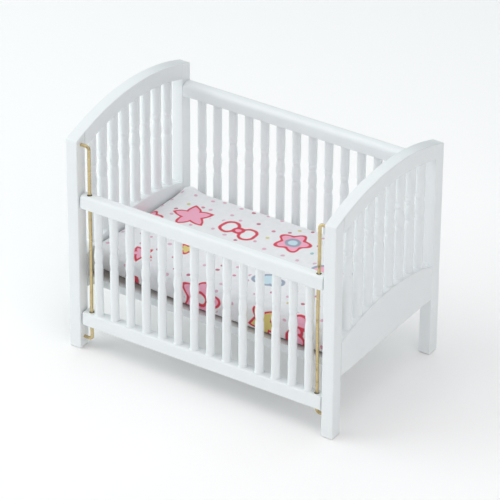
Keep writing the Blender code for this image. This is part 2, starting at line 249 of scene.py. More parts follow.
class CribSettings(bpy.types.PropertyGroup):
    """All the settings of the crib."""
    wood: PointerProperty(type=CribWood)
    finish: PointerProperty(type=CribFinish)
    wires: PointerProperty(type=CribWires)
    mattress: PointerProperty(type=CribMattress)
    print: PointerProperty(type=CribPrint)
    stage: PointerProperty(type=CribStage)


def deselect():
    """Deselect everything, because an operator acts on all that is selected."""
    bpy.ops.object.select_all(action='DESELECT')


def work_on(piece):
    """Make one piece the active one and the only one that is selected."""
    deselect()
    piece.select_set(True)
    bpy.context.view_layer.objects.active = piece


def settle(name):
    """Name a new primitive and put its place and its size into its mesh."""
    piece = bpy.context.object
    piece.name = name
    piece.data.name = name
    bpy.ops.object.transform_apply(location=True, rotation=True, scale=True)
    return piece


def add_block(name, low, high):
    """A cube that is stretched between two corners."""
    deselect()
    bpy.ops.mesh.primitive_cube_add(size=1, location=(low + high) / 2)
    bpy.context.object.scale = high - low
    return settle(name)


def select(piece, kind, chosen):
    """Enter edit mode with the corners, edges or faces that a test chooses."""
    work_on(piece)
    bpy.ops.object.mode_set(mode='EDIT')
    bpy.ops.mesh.select_mode(type=kind)
    bpy.ops.mesh.select_all(action='DESELECT')
    bm = bmesh.from_edit_mesh(piece.data)
    items = {'VERT': bm.verts, 'EDGE': bm.edges, 'FACE': bm.faces}[kind]
    for item in items:
        if chosen(item):
            item.select_set(True)
    bm.select_flush_mode()
    bmesh.update_edit_mesh(piece.data)


def leave_edit_mode():
    bpy.ops.object.mode_set(mode='OBJECT')


def turn_faces_out():
    """Point all faces outwards, and leave edit mode."""
    bpy.ops.mesh.select_all(action='SELECT')
    bpy.ops.mesh.normals_make_consistent(inside=False)
    leave_edit_mode()


def extrude(x=0, y=0, z=0):
    """Draw the selected face out, in edit mode."""
    bpy.ops.mesh.extrude_region_move(TRANSFORM_OT_translate={"value": (x, y, z)})


def is_sharp(edge):
    return edge.calc_face_angle(0) > SHARP_ANGLE


def soften(piece, radius, segments, chosen):
    """Round the edges that a test chooses."""
    select(piece, 'EDGE', chosen)
    bpy.ops.mesh.bevel(offset=radius, segments=segments, profile=0.5, affect='EDGES')
    leave_edit_mode()


def slice_off(piece, point, outwards):
    """Cut a piece through with a plane and close it there. What lies outwards goes."""
    select(piece, 'FACE', lambda face: True)
    bpy.ops.mesh.bisect(plane_co=point, plane_no=outwards, use_fill=True, clear_outer=True,
                        threshold=1e-7)
    leave_edit_mode()


def add_modifier(piece, kind, **values):
    """Add a modifier with its values and apply it."""
    work_on(piece)
    modifier = piece.modifiers.new(kind.title(), kind)
    for name, value in values.items():
        setattr(modifier, name, value)
    bpy.ops.object.modifier_apply(modifier=modifier.name)


def drill(piece, start, end, radius, sides=32):
    """Drill a round hole from one point to another."""
    along = end - start
    deselect()
    bpy.ops.mesh.primitive_cylinder_add(
        vertices=sides, radius=radius, depth=along.length, location=(start + end) / 2,
        rotation=along.to_track_quat('Z', 'Y').to_euler())
    cutter = settle("drill")
    add_modifier(piece, 'BOOLEAN', operation='DIFFERENCE', solver='EXACT', object=cutter)
    bpy.data.objects.remove(cutter)


def copy_piece(piece, name, move):
    """A copy with a mesh of its own, moved by a matrix."""
    twin = piece.copy()
    twin.data = piece.data.copy()
    twin.name = name
    twin.data.name = name
    bpy.context.collection.objects.link(twin)
    twin.data.transform(move)
    return twin


def check_closed(piece):
    """Stop if a piece has an open edge."""
    bm = bmesh.new()
    bm.from_mesh(piece.data)
    open_edges = sum(1 for edge in bm.edges if not edge.is_manifold)
    bm.free()
    if open_edges:
        raise RuntimeError(piece.name + " has " + str(open_edges) + " open edges")


def finish_piece(piece, node, body, materials):
    """Shade a hard piece, give it its materials and let it stand for its node."""
    check_closed(piece)
    work_on(piece)
    bpy.ops.object.shade_smooth_by_angle(angle=SHARP_ANGLE)
    add_modifier(piece, 'WEIGHTED_NORMAL', keep_sharp=True, weight=60)
    for material in materials:
        piece.data.materials.append(material)
    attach(piece, body)
    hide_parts(node)


class NodeBook:
    """Adds nodes to a material and links them, one call for each node."""

    def __init__(self, name):
        self.material = bpy.data.materials.new(name)
        self.material.use_nodes = True
        self.nodes = self.material.node_tree.nodes
        self.links = self.material.node_tree.links
        self.shader = self.nodes["Principled BSDF"]

    def add(self, kind, inputs=(), **values):
        """Add a node. An input is a value or another node's output."""
        node = self.nodes.new("ShaderNode" + kind)
        for name, value in values.items():
            setattr(node, name, value)
        for key, value in dict(inputs).items():
            if isinstance(value, bpy.types.NodeSocket):
                self.links.new(value, node.inputs[key])
            else:
                node.inputs[key].default_value = value
        return node

    def sum(self, operation, first, second=0.0, third=0.0):
        """A Math node's result."""
        return self.add("Math", {0: first, 1: second, 2: third}, operation=operation).outputs[0]

    def blend(self, factor, first, second):
        """A colour between two others."""
        first, second = (colour if isinstance(colour, bpy.types.NodeSocket) else (*colour[:3], 1)
                         for colour in (first, second))
        return self.add("Mix", {0: factor, 6: first, 7: second}, data_type='RGBA').outputs[2]

    def noise(self, vector, scale, detail=2.0, roughness=0.5):
        """A noise value from 0 to 1. The scale is in cells per metre."""
        inputs = {"Vector": vector, "Scale": scale, "Detail": detail, "Roughness": roughness}
        return self.add("TexNoise", inputs).outputs["Fac"]

    def ramp(self, value, low, high, start=0.0, end=1.0):
        """Map a value from low..high to start..end, held at both ends."""
        inputs = {"Value": value, "From Min": low, "From Max": high,
                  "To Min": start, "To Max": end}
        return self.add("MapRange", inputs, clamp=True).outputs[0]

    def bump(self, height, distance, strength=1.0, normal=None):
        """A bump of a real height."""
        inputs = {"Height": height, "Distance": distance, "Strength": strength}
        if normal is not None:
            inputs["Normal"] = normal
        return self.add("Bump", inputs).outputs[0]

    def place(self):
        """The place in the crib, in metres."""
        return self.add("TexCoord").outputs["Object"]

    def link(self, key, value):
        """Feed a socket of the shader."""
        self.links.new(value, self.shader.inputs[key])


def shared_material(finish_with):
    """Make a material when its function is first called, and give the same one after that."""
    def find_or_make(*kind):
        name = "_".join((finish_with.__name__, *kind))
        found = bpy.data.materials.get(name)
        if found:
            return found
        book = NodeBook(name)
        finish_with(book, *kind)
        return book.material
    return find_or_make


def shaded(colour, share):
    """A colour that is darker or lighter by a share."""
    return tuple(min(channel * share, 1) for channel in colour)


# How much the grain of painted wood is stretched along each axis.
GRAINS = {"upright": (1, 1, 0.07), "lengthwise": (0.07, 1, 1), "crosswise": (1, 0.07, 1)}


@shared_material
def satin_paint(book, direction):
    """Satin paint over wood, whose grain runs in one direction and shows through faintly."""
    finish = bpy.context.scene.crib.finish
    place = book.place()
    stretched = book.add("Mapping", {"Vector": place, "Scale": GRAINS[direction]}).outputs[0]
    patches = book.noise(place, scale=210, detail=3)
    fibres = book.noise(stretched, scale=1500, detail=2)
    thin, thick = shaded(finish.paint, 0.99), shaded(finish.paint, 1.01)
    tint = book.blend(book.ramp(patches, 0.35, 0.7), finish.paint, thin)
    tint = book.blend(book.ramp(fibres, 0.5, 0.75, 0, 0.35), tint, thick)
    book.link("Base Color", tint)
    dullness = finish.paint_roughness
    spread = 0.04
    book.link("Roughness", book.ramp(patches, 0.3, 0.7, dullness - spread, dullness + spread))
    book.link("Normal", book.bump(fibres, distance=0.000006, strength=0.3))
    book.shader.inputs["Coat Weight"].default_value = 0.5
    book.shader.inputs["Coat Roughness"].default_value = 0.16


@shared_material
def bare_bore(book):
    """A mottled, very dark brown on the walls inside a drilled hole."""
    bore_mottle = book.noise(book.place(), scale=2600, detail=4)
    dark, pale = (0.055, 0.045, 0.038), (0.15, 0.115, 0.085)
    book.link("Base Color", book.blend(book.ramp(bore_mottle, 0.35, 0.65), dark, pale))
    book.shader.inputs["Roughness"].default_value = 0.8
    book.link("Normal", book.bump(bore_mottle, distance=0.00004, strength=0.6))


@shared_material
def drawn_brass(book):
    """Drawn brass wire with fine lines along it, dulled in places."""
    finish = bpy.context.scene.crib.finish
    place = book.place()
    drawn = book.add("Mapping", {"Vector": place, "Scale": (1, 1, 0.02)}).outputs[0]
    lines = book.noise(drawn, scale=5200, detail=2)
    stains = book.noise(place, scale=330, detail=5, roughness=0.62)
    dulled = book.ramp(stains, 0.6, 0.76, 0, 0.6)
    tint = book.blend(lines, finish.brass, shaded(finish.brass, 1.12))
    book.link("Base Color", book.blend(dulled, tint, finish.tarnish))
    dullness = finish.brass_roughness
    book.link("Roughness", book.ramp(stains, 0.4, 0.7, dullness - 0.06, dullness + 0.25))
    book.link("Normal", book.bump(lines, distance=0.000008, strength=0.5))
    book.shader.inputs["Metallic"].default_value = 1


# Depths under the board's top where it starts to be bare and is bare, places behind its front
# where it starts to be bare and is bare, how bare it is in front, and how ragged that line is.
# From the front edge back to the mattress the bare top grows darker: that darkening is painted
# shade from the mattress.
BARE_AND_SHADE_DEPTHS = (0.00035, 0.00005)
BARE_AND_SHADE_PLACES = (0.0002, 0.0032)
BARE_AND_SHADE_IN_FRONT = 0.3
RAGGED = 0.0008


@shared_material
def bare_board(book):
    """The bed board: bare on top behind its front edge, with paint blown over its sides, and with
    painted shade from the mattress that darkens its top towards the pad.
    """
    finish = bpy.context.scene.crib.finish
    low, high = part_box("bed_board")
    place = book.place()
    height = book.add("SeparateXYZ", {"Vector": place})
    specks = book.noise(place, scale=1900, detail=4)
    # The dark bare colour is partly the board's own and partly painted shade from the mattress.
    board = book.blend(book.ramp(specks, 0.3, 0.7), shaded(finish.board, 0.86), finish.board)
    on_top = book.ramp(height.outputs["Z"], *(high.z - depth for depth in BARE_AND_SHADE_DEPTHS))
    ragged = book.sum('MULTIPLY_ADD', specks, RAGGED, height.outputs["Y"])
    # Painted shade: the top grows darker from the front edge back towards the mattress.
    inside = book.ramp(ragged, *(low.y + behind for behind in BARE_AND_SHADE_PLACES), BARE_AND_SHADE_IN_FRONT, 1)
    bare_and_shade_mask = book.sum('MULTIPLY', on_top, inside)
    book.link("Base Color", book.blend(bare_and_shade_mask, finish.paint, board))
    book.shader.inputs["Roughness"].default_value = 0.7
    book.link("Normal", book.bump(specks, distance=0.00003, strength=0.5))


# Height of a post's block over its arch, cuts that plane it, and depth of the planed joint.
POST_SPARE = 0.001
POST_CUTS = 3
POST_JOINT = 0.0004


def add_post(side_name, row_name, row):
    """A post from a block: its top is planed to the arch's curve, then its edges are eased."""
    wood = bpy.context.scene.crib.wood
    node = side_name + "_" + row_name + "_post"
    low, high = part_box(node)
    piece = add_block(node + "_painted", low, high + Vector((0, 0, POST_SPARE)))
    for cut in range(POST_CUTS):
        y = low.y + (high.y - low.y) * (cut + 0.5) / POST_CUTS
        outwards = Vector((0, y, math.sqrt(ARCH_RADIUS ** 2 - y ** 2)))
        slice_off(piece, Vector((0, 0, ARCH_CENTRE)) + outwards, outwards.normalized())
    joint_y = row * INNER_Y

    def at_joint(edge):
        return all(abs(vert.co.y - joint_y) < TOUCH and vert.co.z > POST_HIGH.z - POST_JOINT
                   for vert in edge.verts)

    def at_foot(edge):
        return all(vert.co.z < TOUCH for vert in edge.verts)

    soften(piece, wood.edge_round, EDGE_SEGMENTS,
           lambda edge: is_sharp(edge) and not at_joint(edge) and not at_foot(edge))
    soften(piece, wood.foot_round, EDGE_SEGMENTS, lambda edge: is_sharp(edge) and at_foot(edge))
    return piece, node


# Steps of a curved bar, its turn past both ends, and the depth spun under the end board's curve.
ARCH_STEPS = 56
SPARE_TURN = math.radians(1.5)
BOARD_SPARE = 0.003


def curved_bar(name, centre, outer, inner, reach):
    """A bar whose section is spun about an arch's centre and cut upright at both ends."""
    low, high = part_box("right_end_board")
    turn = math.asin(reach / inner) + SPARE_TURN
    middle = (outer + inner) / 2
    deselect()
    bpy.ops.mesh.primitive_plane_add(
        size=1, rotation=(math.pi / 2 + turn, 0, 0),
        location=(END_X, -middle * math.sin(turn), centre + middle * math.cos(turn)))
    bpy.context.object.scale = (high.x - low.x, outer - inner, 1)
    piece = settle(name)
    select(piece, 'FACE', lambda face: True)
    bpy.ops.mesh.spin(steps=ARCH_STEPS, angle=2 * turn, center=(END_X, 0, centre), axis=(1, 0, 0))
    turn_faces_out()
    for side in (-1, 1):
        slice_off(piece, Vector((0, side * reach, 0)), Vector((0, side, 0)))
    return piece


def ease_curved_bar(piece, reach):
    """Round the long edges well and the glued ends only a little."""
    wood = bpy.context.scene.crib.wood

    def at_end(edge):
        return all(abs(vert.co.y) > reach - TOUCH for vert in edge.verts)

    soften(piece, wood.edge_round, EDGE_SEGMENTS,
           lambda edge: is_sharp(edge) and not at_end(edge))
    soften(piece, wood.joint_round, JOINT_SEGMENTS,
           lambda edge: is_sharp(edge) and at_end(edge))


def add_rail(node, radius):
    """A rail: a block with both its top edges well rounded."""
    wood = bpy.context.scene.crib.wood
    low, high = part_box(node)
    piece = add_block(node + "_painted", low, high)

    def along_top(edge):
        return all(vert.co.z > high.z - TOUCH for vert in edge.verts) and (
            abs(edge.verts[0].co.x - edge.verts[1].co.x) > radius)

    soften(piece, radius, RAIL_SEGMENTS, along_top)
    soften(piece, wood.edge_round, EDGE_SEGMENTS, is_sharp)
    return piece


# The most that the normal of a bore's wall leans up or down.
WALL_LEAN = 0.3


def drill_for_wire(rail, x):
    """Drill a gate rail through, ease the rims and give the bore's walls a very dark brown."""
    wood = bpy.context.scene.crib.wood
    radius = wood.hole_diameter / 2
    low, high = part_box(rail.name.replace("_painted", ""))
    over = Vector((0, 0, radius))
    drill(rail, Vector((x, POST_Y, low.z)) - over, Vector((x, POST_Y, high.z)) + over, radius)

    def from_axis(vert):
        return math.hypot(vert.co.x - x, vert.co.y - POST_Y)

    def at_rim(edge):
        return is_sharp(edge) and all(
            abs(from_axis(vert) - radius) < 2 * TOUCH for vert in edge.verts)

    soften(rail, wood.joint_round, JOINT_SEGMENTS, at_rim)
    for face in rail.data.polygons:
        middle = face.center
        upright = abs(face.normal.z) < WALL_LEAN
        if upright and math.hypot(middle.x - x, middle.y - POST_Y) < radius + TOUCH:
            face.material_index = 1


# Turned places down a spindle: share of the clear length from its top, share of its radius.
TURNING_SHARES = (
    (0.25, 1.0), (0.268, 1.0), (0.286, 0.9), (0.316, 0.955), (0.345, 0.825), (0.385, 0.94),
    (0.44, 1.04), (0.47, 0.97), (0.5, 0.865), (0.532, 0.99), (0.56, 1.0),
)
STEPS_BETWEEN_TURNS = 4
# Height and width of the ring of gathered paint, as shares of the pool's width, and depth and
# inset of the neck, as shares of how much it is drawn in.
RING_SHARES = ((0.0, 1.0), (0.25, 0.55), (0.65, 0.2), (1.5, 0.0))
NECK_SHARES = ((3.0, 0.0), (2.2, 0.8), (1.5, 1.0), (0.0, 1.0))
# Least and most that a spindle's thickness differs, how far its turned places shift along it
# and aside, and the length over which its ends follow a slope.
THICKNESS_SPREAD = (-0.012, 0.018)
TURNING_SHIFT = 0.0003
TURNING_LEAN = 0.00008
SLOPE_REACH = 0.0006
UPSIDE_DOWN = ("back_spindle_1", "back_spindle_2")
# Spindles in the back, as in the gate, and in each end.
LONG_ROW = 14
END_ROW = 8


def turning_profile(clear, radius):
    """Height and radius pairs from foot to top, eased between a spindle's turned places."""
    profile = []
    places = [(clear * (1 - down), radius * width) for down, width in reversed(TURNING_SHARES)]
    for (low, low_radius), (high, high_radius) in zip(places, places[1:]):
        for step in range(STEPS_BETWEEN_TURNS):
            share = step / STEPS_BETWEEN_TURNS
            eased = (1 - math.cos(math.pi * share)) / 2
            profile.append((low + (high - low) * share,
                            low_radius + (high_radius - low_radius) * eased))
    profile.append(places[-1])
    return profile


def whole_profile(clear, radius, pool, neck):
    """The turning profile with a ring of gathered paint at its foot and a neck at its top."""
    foot = [(pool * height, radius + pool * width) for height, width in RING_SHARES]
    top = [(clear - neck * depth, radius - neck * inset) for depth, inset in NECK_SHARES]
    return foot + turning_profile(clear, radius) + top


def turn_spindle(name, clear, diameter, wood):
    """Turn a spindle that stands on the origin: a disc, extruded and resized at each place."""
    profile = whole_profile(clear, diameter / 2, wood.paint_pool, wood.neck)
    deselect()
    bpy.ops.mesh.primitive_circle_add(
        vertices=wood.spindle_sides, radius=profile[0][1], fill_type='NGON',
        location=(0, 0, profile[0][0]))
    piece = settle(name)
    select(piece, 'FACE', lambda face: True)
    for (height, width), (next_height, next_width) in zip(profile, profile[1:]):
        extrude(z=next_height - height)
        share = next_width / width
        bpy.ops.transform.resize(value=(share, share, 1), center_override=(0, 0, next_height))
    turn_faces_out()
    return piece


def stand_spindles(pattern, nodes, body, foot_slope=None):
    """Copy a spindle to each node of a row, each copy a little different, as turned work is."""
    wood = bpy.context.scene.crib.wood
    chance = random.Random(nodes[0])
    for node in nodes:
        low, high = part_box(node)
        foot = Vector(((low.x + high.x) / 2, (low.y + high.y) / 2, low.z + wood.spindle_seat))
        clear = high.z - low.z - 2 * wood.spindle_seat
        thickness = 1 + chance.uniform(*THICKNESS_SPREAD)
        move = (Matrix.Translation(foot)
                @ Matrix.Rotation(chance.uniform(0, math.tau), 4, 'Z')
                @ Matrix.Diagonal((thickness, thickness, 1, 1)))
        if node in UPSIDE_DOWN:
            move = move @ Matrix.Translation((0, 0, clear)) @ Matrix.Rotation(math.pi, 4, 'X')
        piece = copy_piece(pattern, node + "_painted", move)
        settle_turning(piece, foot, clear, chance, foot_slope)
        finish_piece(piece, node, body, [satin_paint("upright")])


def settle_turning(piece, foot, clear, chance, slope):
    """Shift the turned places a little up or down, and fit both ends to a sloping curve."""
    shift = chance.uniform(-TURNING_SHIFT, TURNING_SHIFT)
    lean = Vector((chance.uniform(-1, 1), chance.uniform(-1, 1), 0)) * TURNING_LEAN
    for vert in piece.data.vertices:
        share = (vert.co.z - foot.z) / clear
        inner = max(math.sin(math.pi * min(max(share, 0), 1)), 0)
        vert.co.z += shift * inner
        vert.co += lean * inner
        if slope is not None:
            near_end = 1 - min(min(share, 1 - share) * clear / SLOPE_REACH, 1)
            vert.co.z += slope(foot.y) * (vert.co.y - foot.y) * near_end


def arch_slope(y):
    """Rise of the arch's underside and of the end board's top, for each metre of y."""
    return -y / math.sqrt(ARCH_INNER_RADIUS ** 2 - y ** 2)


WIRE_BEND_STEPS = 9
WIRE_LENGTHS = 24
# Turns of the waves along a wire's upright part, in radians: sideways, and to and fro.
WIRE_WAVES = (7.5, 5.5)


def bend_wire(node, side):
    """A wire: a disc in the post, drawn out, spun round a bend, up, round a bend and back in."""
    wires = bpy.context.scene.crib.wires
    low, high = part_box(node)
    radius = (high.y - low.y) / 2
    near_x = low.x if side > 0 else high.x
    far_x = high.x if side > 0 else low.x
    upright_x = near_x + side * radius
    foot_z = low.z + radius
    top_z = high.z - radius
    corner_x = upright_x + side * wires.bend
    deselect()
    bpy.ops.mesh.primitive_circle_add(
        vertices=wires.sides, radius=radius, fill_type='NGON',
        location=(far_x, POST_Y, foot_z), rotation=(0, math.pi / 2, 0))
    piece = settle(node + "_brass")
    select(piece, 'FACE', lambda face: True)
    extrude(x=corner_x - far_x)
    quarter = math.pi / 2 * side
    bpy.ops.mesh.spin(steps=WIRE_BEND_STEPS, angle=-quarter, axis=(0, 1, 0),
                      center=(corner_x, POST_Y, foot_z + wires.bend))
    rise = (top_z - foot_z - 2 * wires.bend) / WIRE_LENGTHS
    for _ in range(WIRE_LENGTHS):
        extrude(z=rise)
    bpy.ops.mesh.spin(steps=WIRE_BEND_STEPS, angle=-quarter, axis=(0, 1, 0),
                      center=(corner_x, POST_Y, top_z - wires.bend))
    extrude(x=far_x - corner_x)
    turn_faces_out()
    sway_wire(piece, foot_z, top_z, wires.sway, side)
    return piece


def sway_wire(piece, foot_z, top_z, sway, side):
    """Let the upright part of a wire wander, as hand-bent wire does."""
    for vert in piece.data.vertices:
        share = min(max((vert.co.z - foot_z) / (top_z - foot_z), 0), 1)
        held = math.sin(math.pi * share) ** 0.5
        vert.co.x += held * sway * math.sin(WIRE_WAVES[0] * share + side)
        vert.co.y += held * sway * math.sin(WIRE_WAVES[1] * share + 2 * side)


def finish_both_ends(piece, node):
    """Copy a piece of the right end to the left end, and finish both."""
    move = Matrix.Translation((-2 * END_X, 0, 0))
    twin = copy_piece(piece, piece.name.replace("right", "left"), move)
    for board, name in ((piece, node), (twin, node.replace("right", "left"))):
        finish_piece(board, name, "crib_frame", [satin_paint("crosswise")])


class CRIB_OT_add_posts(bpy.types.Operator):
    """Model the four posts"""
    bl_idname = "crib.add_posts"
    bl_label = "Posts"

    def execute(self, context):
        for side_name, _ in ENDS:
            for row_name, row in (("front", -1), ("rear", 1)):
                piece, node = add_post(side_name, row_name, row)
                finish_piece(piece, node, "crib_frame", [satin_paint("upright")])
        return {'FINISHED'}


class CRIB_OT_add_arch_rails(bpy.types.Operator):
    """Model the arch rails over both ends"""
    bl_idname = "crib.add_arch_rails"
    bl_label = "Arch Rails"

    def execute(self, context):
        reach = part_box("right_arch_rail")[1].y
        rail = curved_bar("right_arch_rail_painted", ARCH_CENTRE, ARCH_RADIUS,
                          ARCH_INNER_RADIUS, reach)
        ease_curved_bar(rail, reach)
        finish_both_ends(rail, "right_arch_rail")
        return {'FINISHED'}


class CRIB_OT_add_end_boards(bpy.types.Operator):
    """Model the boards under the end spindles"""
    bl_idname = "crib.add_end_boards"
    bl_label = "End Boards"

    def execute(self, context):
        low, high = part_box("right_end_board")
        inner = ARCH_INNER_RADIUS - (high.z - low.z) - BOARD_SPARE
        board = curved_bar("right_end_board_painted", BOARD_CENTRE, ARCH_INNER_RADIUS,
                           inner, high.y)
        slice_off(board, Vector((0, 0, low.z)), Vector((0, 0, -1)))
        ease_curved_bar(board, high.y)
        finish_both_ends(board, "right_end_board")
        return {'FINISHED'}


class CRIB_OT_add_back_rails(bpy.types.Operator):
    """Model the two rails of the back"""
    bl_idname = "crib.add_back_rails"
    bl_label = "Back Rails"

    def execute(self, context):
        radius = context.scene.crib.wood.back_rail_round
        for node in ("back_top_rail", "back_bottom_rail"):
            rail = add_rail(node, radius)
            finish_piece(rail, node, "crib_frame", [satin_paint("lengthwise")])
        return {'FINISHED'}


class CRIB_OT_add_gate_rails(bpy.types.Operator):
    """Model the two rails of the drop gate, drilled for the wires"""
    bl_idname = "crib.add_gate_rails"
    bl_label = "Gate Rails"

    def execute(self, context):
        wood = context.scene.crib.wood
        left_low, left_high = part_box("left_guide_wire")
        wire_x = left_high.x - (left_high.y - left_low.y) / 2
        for node, radius in (("gate_top_rail", wood.rail_round),
                             ("gate_bottom_rail", wood.low_rail_round)):
            rail = add_rail(node, radius)
            for x in (wire_x, -wire_x):
                drill_for_wire(rail, x)
            finish_piece(rail, node, "drop_gate",
                         [satin_paint("lengthwise"), bare_bore()])
        return {'FINISHED'}


class CRIB_OT_add_spindles(bpy.types.Operator):
    """Turn the spindles of the back, the gate and both ends"""
    bl_idname = "crib.add_spindles"
    bl_label = "Turned Spindles"

    def execute(self, context):
        wood = context.scene.crib.wood
        low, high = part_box("gate_spindle_1")
        clear = high.z - low.z - 2 * wood.spindle_seat
        slim = turn_spindle("spindle_pattern", clear, wood.spindle_diameter, wood)
        stout = turn_spindle("end_spindle_pattern", clear, wood.end_spindle_diameter, wood)
        rows = ((slim, "back_spindle_", LONG_ROW, "crib_frame", None),
                (slim, "gate_spindle_", LONG_ROW, "drop_gate", None),
                (stout, "left_end_spindle_", END_ROW, "crib_frame", arch_slope),
                (stout, "right_end_spindle_", END_ROW, "crib_frame", arch_slope))
        for pattern, prefix, count, body, slope in rows:
            nodes = [prefix + str(number) for number in range(1, count + 1)]
            stand_spindles(pattern, nodes, body, slope)
        bpy.data.objects.remove(slim)
        bpy.data.objects.remove(stout)
        return {'FINISHED'}


class CRIB_OT_add_guide_wires(bpy.types.Operator):
    """Bend the two brass wires that the gate slides on"""
    bl_idname = "crib.add_guide_wires"
    bl_label = "Guide Wires"

    def execute(self, context):
        for side_name, side in ENDS:
            node = side_name + "_guide_wire"
            finish_piece(bend_wire(node, side), node, "crib_frame", [drawn_brass()])
        return {'FINISHED'}


class CRIB_OT_add_bed_board(bpy.types.Operator):
    """Model the board that carries the mattress"""
    bl_idname = "crib.add_bed_board"
    bl_label = "Bed Board"

    def execute(self, context):
        wood = context.scene.crib.wood
        piece = add_block("bed_board_painted", *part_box("bed_board"))
        soften(piece, wood.edge_round / 2, THIN_SEGMENTS, is_sharp)
        finish_piece(piece, "bed_board", "crib_frame", [bare_board()])
        return {'FINISHED'}


# Motifs in one repeat of the print: shape, place, size, turn in degrees, filling and line.
PRINT_MOTIFS = (
    ("star", (-0.0360, 0.0130), 0.0080, 4, "pink", "red"),
    ("bow", (-0.0150, 0.0135), 0.0078, -8, "ground", "red"),
    ("disc", (-0.0150, 0.0135), 0.0018, 0, "pink", "red"),
    ("flower", (0.0070, 0.0175), 0.0070, 12, "pink", "red"),
    ("disc", (0.0070, 0.0175), 0.0025, 0, "sky_blue", "blue"),
    ("cloud", (0.0330, 0.0060), 0.0084, -4, "pink", "blue"),
    ("cloud", (0.0150, -0.0120), 0.0052, 8, "sky_blue", "blue"),
    ("star", (-0.0350, -0.0230), 0.0048, 30, "pink", "red"),
    ("flower", (-0.0040, -0.0350), 0.0086, 8, "pink", "red"),
    ("disc", (-0.0040, -0.0350), 0.0026, 0, "ground", "red"),
    ("star", (0.0240, -0.0355), 0.0068, 20, "yellow", "red"),
    ("bow", (0.0390, -0.0340), 0.0078, 74, "pink", "red"),
    ("flower", (-0.0230, -0.0100), 0.0036, 0, "yellow", "red"),
    ("flower", (-0.0505, 0.0040), 0.0056, 20, "pink", "red"),
    ("star", (-0.0190, 0.0380), 0.0052, 40, "ground", "red"),
    ("flower", (0.0480, 0.0290), 0.0050, 0, "pink", "pink"),
)
# Dots of the print: where each colour starts among shares from 0 to 1 that are drawn by chance.
PRINT_DOTS = (
    (0.0, (0.80, 0.46, 0.58)),
    (0.3, (0.56, 0.16, 0.23)),
    (0.46, (0.78, 0.50, 0.62)),
    (0.68, (0.70, 0.28, 0.37)),
    (0.82, (0.82, 0.46, 0.59)),
    (0.9, (0.74, 0.66, 0.30)),
    (0.96, (0.36, 0.58, 0.62)),
)
# Width of a dot's soft rim as a share of its radius, and how far from a motif dots start and
# are whole, as shares of their diameter.
DOT_RIM_SHARE = 0.15
DOT_ROOM_SHARES = (1, 1.1)
# The round puffs that a cloud and a bow are made of: place and radius, as shares of the size.
PUFF_SHARES = {
    "cloud": ((-0.62, -0.1, 0.5), (0.0, 0.18, 0.66), (0.62, -0.06, 0.54), (0.0, -0.3, 0.42)),
    "bow": ((-0.56, 0.1, 0.4), (-0.6, -0.14, 0.38), (0.56, 0.1, 0.4), (0.6, -0.14, 0.38),
            (0.0, 0.0, 0.22)),
}
# How far puffs run into each other, as a share of the size, and soft rims across a drawn line.
PUFF_BLEND_SHARE = 0.15
RIMS_ACROSS_LINE = 6
# Petals or points of a flower or a star. A flower's width waves about a share of its size, and
# a star's runs from its least share up to its size, along a curve of this power.
PETALS = 5
PETAL_SHARES = (0.17, 0.83)
POINT_SHARES = (0.48, 0.52)
POINT_POWER = 1.25


def motif_edge(book, shape, local, size):
    """Distance from the edge of a motif that is centred on zero, less than zero inside it."""
    if shape in PUFF_SHARES:
        edge = None
        for across, up, width in PUFF_SHARES[shape]:
            away = book.add("VectorMath", {0: local, 1: (across * size, up * size, 0)},
                            operation='DISTANCE').outputs["Value"]
            puff = book.sum('SUBTRACT', away, width * size)
            edge = puff if edge is None else book.sum(
                'SMOOTH_MIN', edge, puff, PUFF_BLEND_SHARE * size)
        return edge
    reach = book.add("VectorMath", {0: local}, operation='LENGTH').outputs["Value"]
    if shape == "disc":
        return book.sum('SUBTRACT', reach, size)
    split = book.add("SeparateXYZ", {"Vector": local})
    angle = book.sum('ARCTAN2', split.outputs["Y"], split.outputs["X"])
    if shape == "flower":
        wave = book.sum('COSINE', book.sum('MULTIPLY', angle, PETALS))
        shares = PETAL_SHARES
    else:
        saw = book.sum('PINGPONG', book.sum('MULTIPLY', angle, PETALS / math.pi), 1)
        wave = book.sum('POWER', saw, POINT_POWER)
        shares = POINT_SHARES
    width = book.sum('MULTIPLY_ADD', wave, shares[0] * size, shares[1] * size)
    return book.sum('SUBTRACT', reach, width)


def draw_motifs(book, cotton, place, tint):
    """Draw each motif with its line over the cloth. Also tells how far the nearest one is."""
    half = cotton.line / 2
    soft = cotton.line / RIMS_ACROSS_LINE
    nearest = None
    for shape, centre, size, turn, filling, line in PRINT_MOTIFS:
        local = book.add("Mapping", {"Vector": place, "Location": (*centre, 0),
                                     "Rotation": (0, 0, math.radians(turn))},
                         vector_type='TEXTURE').outputs[0]
        edge = motif_edge(book, shape, local, size)
        inside = book.ramp(edge, -soft, soft, 1, 0)
        on_line = book.ramp(book.sum('ABSOLUTE', edge), half - soft, half + soft, 1, 0)
        tint = book.blend(inside, tint, getattr(cotton, filling))
        tint = book.blend(on_line, tint, getattr(cotton, line))
        nearest = edge if nearest is None else book.sum('MINIMUM', nearest, edge)
    return tint, nearest


